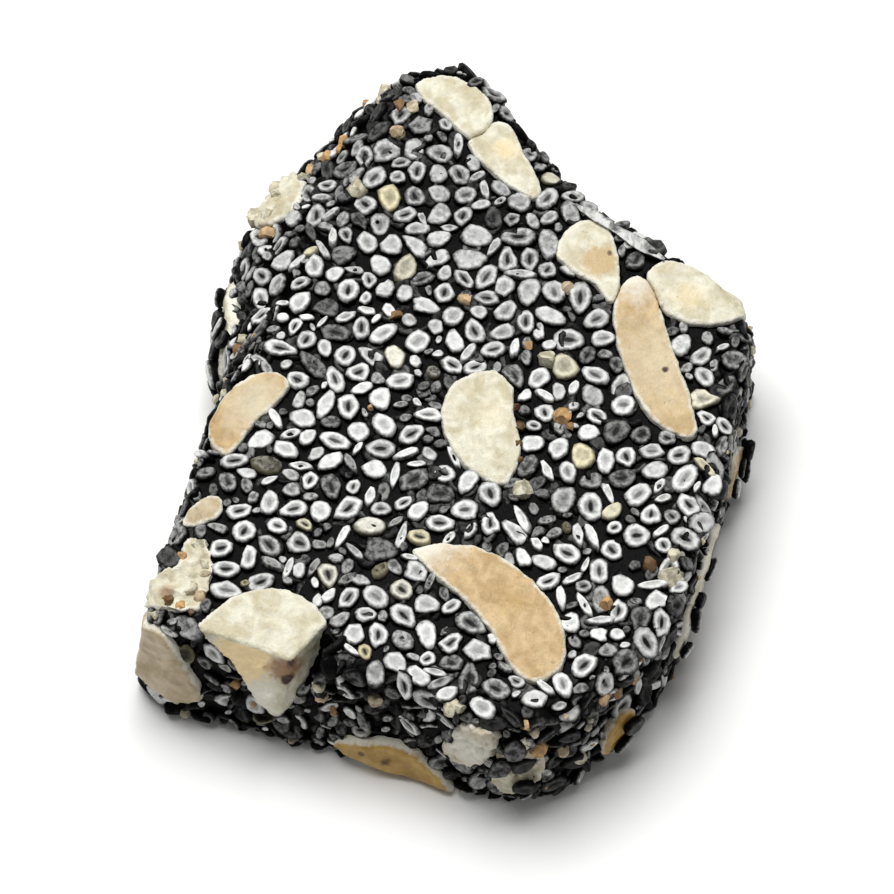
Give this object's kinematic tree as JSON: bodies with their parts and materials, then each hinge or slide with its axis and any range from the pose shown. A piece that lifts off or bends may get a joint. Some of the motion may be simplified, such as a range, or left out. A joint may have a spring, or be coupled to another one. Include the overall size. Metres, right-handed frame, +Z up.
{
  "type": "sesame brittle slab",
  "caption": "Hand-cut four-sided slab of black sesame brittle, pressed flat, with chopped peanut pieces set flush in its faces and broken sides.",
  "frame": {"origin": "middle of the slab's box, on the flat underside it lies on", "axes": "+Z up through the thickness, +X along the front cut to the right, +Y away from it towards the slanted back cut"},
  "size_m": [0.0516, 0.0664, 0.0139],
  "materials": {
    "syrup": "near-black set syrup, glossy in the gaps between the seeds",
    "sesame": "black sesame seeds glazed with syrup, pale grey flats with dark rims",
    "peanut_ivory": "raw ivory peanut, satin with a thin glaze",
    "peanut_tan": "lightly roasted tan peanut with a paler rim",
    "peanut_roasted": "browned peanut with traces of skin",
    "peanut_dull": "dull grey-tan cut peanut"
  },
  "bodies": {
    "root": {"slab": "syrup", "nut_top_half_moon": "peanut_ivory", "nut_top_tail": "peanut_ivory", "nut_top_heart": "peanut_ivory", "nut_top_spear": "peanut_tan", "nut_top_wedge": "peanut_ivory", "nut_top_kidney": "peanut_ivory", "nut_top_crescent": "peanut_tan", "nut_top_chip": "peanut_dull", "nut_top_crumbly": "peanut_ivory", "nut_top_comma": "peanut_tan", "nut_rim_chunk": "peanut_ivory", "nut_front_block": "peanut_dull", "nut_front_roasted": "peanut_roasted", "nut_front_round": "peanut_dull", "nut_front_seeded": "peanut_ivory", "nut_right_long": "peanut_ivory", "nut_right_split": "peanut_tan", "nut_right_chip": "peanut_roasted", "nut_back_half": "peanut_ivory", "nut_back_chip": "peanut_tan", "nut_left_long": "peanut_ivory", "nut_left_crumb": "peanut_ivory", "nut_left_chip": "peanut_dull", "nut_base_kidney": "peanut_ivory", "nut_base_wedge": "peanut_tan", "nut_base_spear": "peanut_ivory", "nut_base_half_moon": "peanut_tan", "nut_base_chunk": "peanut_ivory", "nut_base_tail": "peanut_roasted"}
  },
  "joints": []
}
